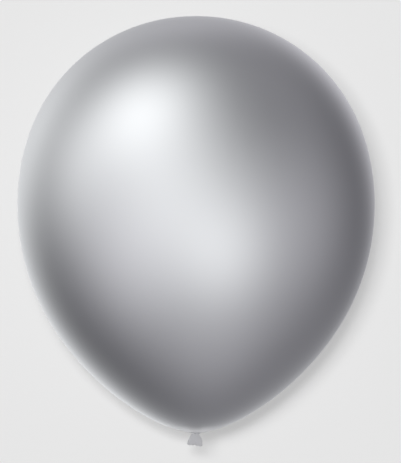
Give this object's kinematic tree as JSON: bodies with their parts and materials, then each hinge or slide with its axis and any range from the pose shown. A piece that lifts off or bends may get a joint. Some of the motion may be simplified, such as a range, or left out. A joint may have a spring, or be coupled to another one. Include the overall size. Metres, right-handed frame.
{
  "type": "metallic latex balloon",
  "caption": "Round latex balloon with a metallic sheen, blown up to a pear-shaped bulb and tied off, with its knot, short flared tail and rolled lip below.",
  "frame": {"origin": "the tied neck, on the balloon's axis, where a ribbon or string is tied", "axes": "+Z along the balloon's axis from the tied neck to the crown; -Y is the front, the side that the knot's tail leaves on"},
  "size_m": [0.28, 0.28, 0.3373],
  "materials": {
    "stretched_film": "satin metallic latex, silver grey, stretched thin",
    "gathered_latex": "metallic latex, gathered and knotted, darker and duller than the stretched film",
    "loose_latex": "metallic latex, hardly stretched, satin"
  },
  "bodies": {
    "root": {"envelope": "stretched_film", "neck": "gathered_latex", "knot": "gathered_latex", "tail": "loose_latex", "rolled_lip": "loose_latex"}
  },
  "joints": []
}
